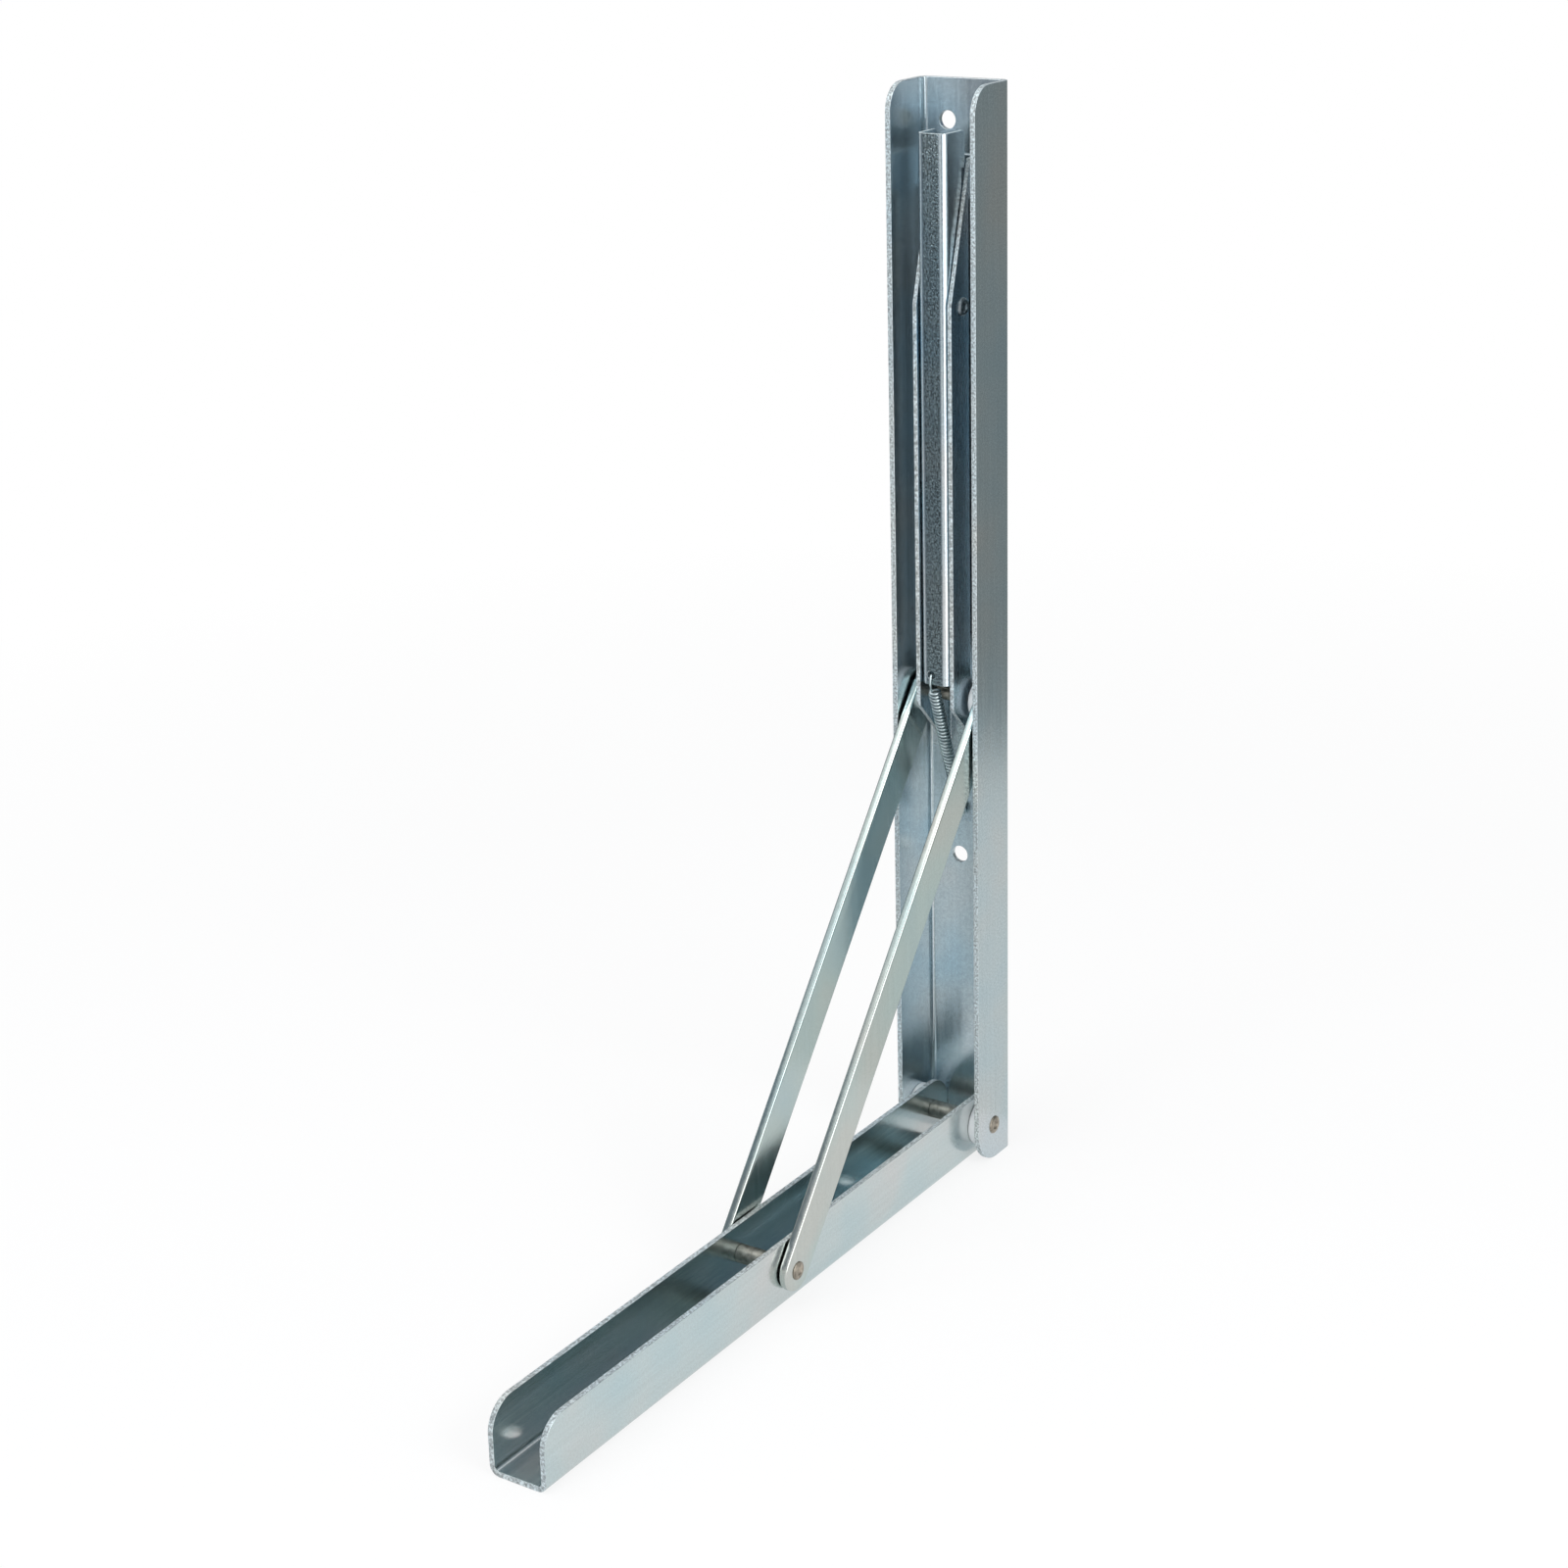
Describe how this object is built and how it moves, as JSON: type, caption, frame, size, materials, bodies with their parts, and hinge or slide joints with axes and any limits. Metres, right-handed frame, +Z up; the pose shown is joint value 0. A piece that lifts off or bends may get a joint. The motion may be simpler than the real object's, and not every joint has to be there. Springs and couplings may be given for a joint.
{
  "type": "folding shelf bracket",
  "caption": "Zinc-plated folding bracket: a long U channel, an arm that folds up into it, two struts that slide behind a sprung release lever.",
  "frame": {"origin": "on the long channel's back face, half way across it, level with the hinge axis", "axes": "+X along the hinge pin, +Y out of the back face towards what it is screwed to, +Z up along the long channel; the open arm points to -Y"},
  "size_m": [0.0456, 0.3515, 0.5],
  "materials": {
    "zinc_sheet": "blue-passivated zinc plating on bent steel sheet",
    "zinc_inner": "blue-passivated zinc plating, darker and finely speckled",
    "zinc_bar": "blue-passivated zinc plating on flat bar with bright sheared edges",
    "rivet_steel": "plain brownish steel",
    "spring_steel": "drawn spring wire",
    "white_plastic": "white moulded plastic"
  },
  "bodies": {
    "frame": {"long_channel": "zinc_sheet", "lock_channel": "zinc_inner", "spring_post": "zinc_inner", "hinge_pin": "rivet_steel", "lever_pin": "rivet_steel"},
    "arm": {"arm_channel": "zinc_sheet", "hinge_sleeve": "rivet_steel", "hinge_washer_left": "white_plastic", "hinge_washer_right": "white_plastic", "strut_pin": "rivet_steel", "strut_sleeve": "rivet_steel"},
    "struts": {"left_strut": "zinc_bar", "right_strut": "zinc_bar", "strut_stub_left": "rivet_steel", "strut_stub_right": "rivet_steel"},
    "slider": {"slide_pin": "rivet_steel", "slide_washer_left": "white_plastic", "slide_washer_right": "white_plastic"},
    "lever": {"release_lever": "zinc_inner", "lever_spring": "spring_steel"}
  },
  "joints": [
    {"name": "arm_fold", "type": "hinge", "parent": "frame", "child": "arm", "pos_m": [0, -0.0165, 0], "axis": [-1, 0, 0], "range_deg": [0, 88.5]},
    {"name": "strut_turn", "type": "hinge", "parent": "arm", "child": "struts", "pos_m": [0, -0.1805, 0], "axis": [1, 0, 0], "range_deg": [0, 125.58]},
    {"name": "pin_slide", "type": "slide", "parent": "frame", "child": "slider", "axis": [0, 0, 1], "range_m": [0, 0.22325]},
    {"name": "lever_press", "type": "hinge", "parent": "frame", "child": "lever", "pos_m": [0, -0.0208, 0.38845], "axis": [-1, 0, 0], "range_deg": [0, 1.8], "stiffness_Nm_per_rad": 4, "springref_deg": -2.86, "deforming": ["lever_spring"]}
  ],
  "couplings": [
    {"joint": "strut_turn", "follows": "arm_fold", "ratio": 1.4188},
    {"joint": "pin_slide", "follows": "arm_fold", "m_per_rad": 0.14453}
  ]
}
